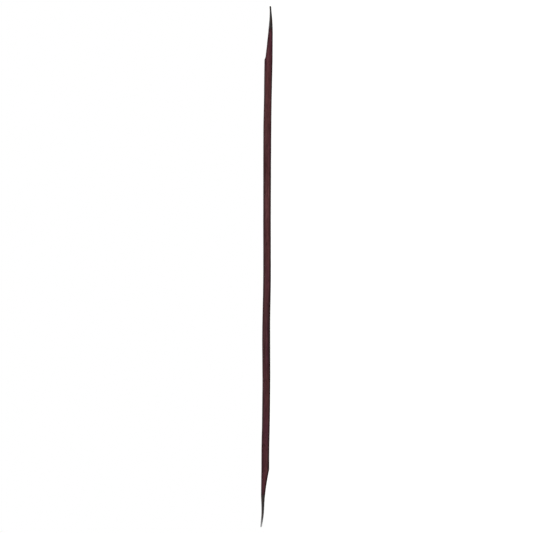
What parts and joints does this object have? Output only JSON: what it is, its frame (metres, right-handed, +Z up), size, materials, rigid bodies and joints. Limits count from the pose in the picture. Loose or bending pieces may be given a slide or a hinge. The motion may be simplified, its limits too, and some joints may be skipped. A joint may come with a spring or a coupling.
{
  "type": "sculpting spatula",
  "caption": "Slim double-ended modelling spatula: a flat hardwood handle with a small blackened-steel blade pinned into each end.",
  "frame": {"origin": "middle of the tool's length and width, on the surface that it lies on", "axes": "+X along the tool from the upturned blade to the straight blade, +Y across its width, +Z up through its thickness"},
  "size_m": [0.3, 0.012, 0.0051],
  "materials": {
    "rosewood": "oiled satin, dark reddish brown with fine lengthwise streaks",
    "blackened_steel": "blackened satin, rubbed grey on the broad faces and worn bare at the upturned tip",
    "pin_steel": "filed flush, dull"
  },
  "bodies": {
    "root": {"handle": "rosewood", "straight_blade": "blackened_steel", "straight_blade_outer_pin": "pin_steel", "straight_blade_inner_pin": "pin_steel", "upturned_blade": "blackened_steel", "upturned_blade_outer_pin": "pin_steel", "upturned_blade_inner_pin": "pin_steel"}
  },
  "joints": []
}
